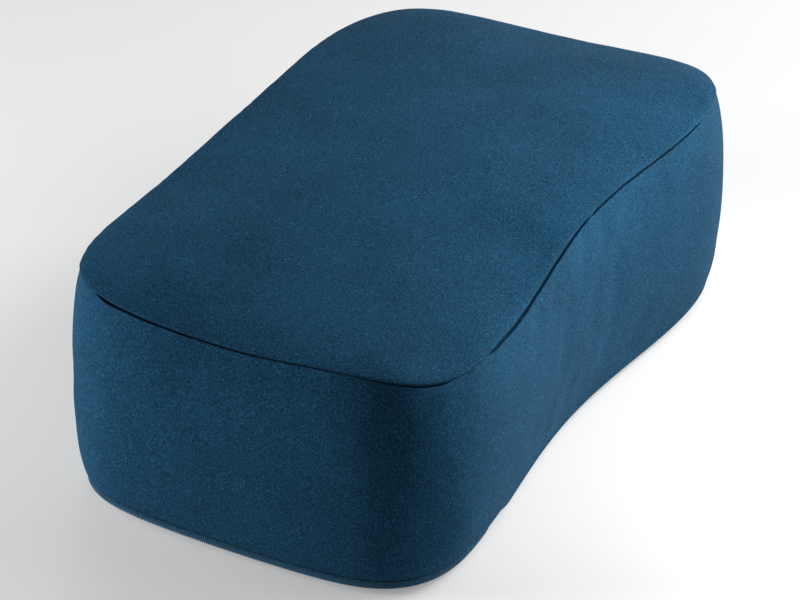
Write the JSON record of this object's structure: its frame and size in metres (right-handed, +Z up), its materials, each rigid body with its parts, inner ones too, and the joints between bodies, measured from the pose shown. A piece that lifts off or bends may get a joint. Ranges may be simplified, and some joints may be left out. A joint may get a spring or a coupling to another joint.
{
  "type": "rectangular box cushion",
  "caption": "Filled box cushion with a crowned top panel, a side band, long sides drawn in at the middle and a coil zip under the band's front edge",
  "frame": {"origin": "the middle of the bounding box, on the surface that the cushion rests on", "axes": "+X across the cushion, +Y along it away from the zip's end, +Z up out of the crowned top"},
  "size_m": [0.236, 0.405, 0.14],
  "materials": {
    "cover_cloth": "matt, fine brushed knit in petrol blue",
    "zip_teeth": "satin polyester coil, dyed to match the cloth",
    "zip_tape": "matt woven polyester tape, dyed to match the cloth"
  },
  "bodies": {
    "root": {"cushion": "cover_cloth", "zip_teeth_upper": "zip_teeth", "zip_teeth_lower": "zip_teeth", "zip_tape_upper": "zip_tape", "zip_tape_lower": "zip_tape"}
  },
  "joints": []
}
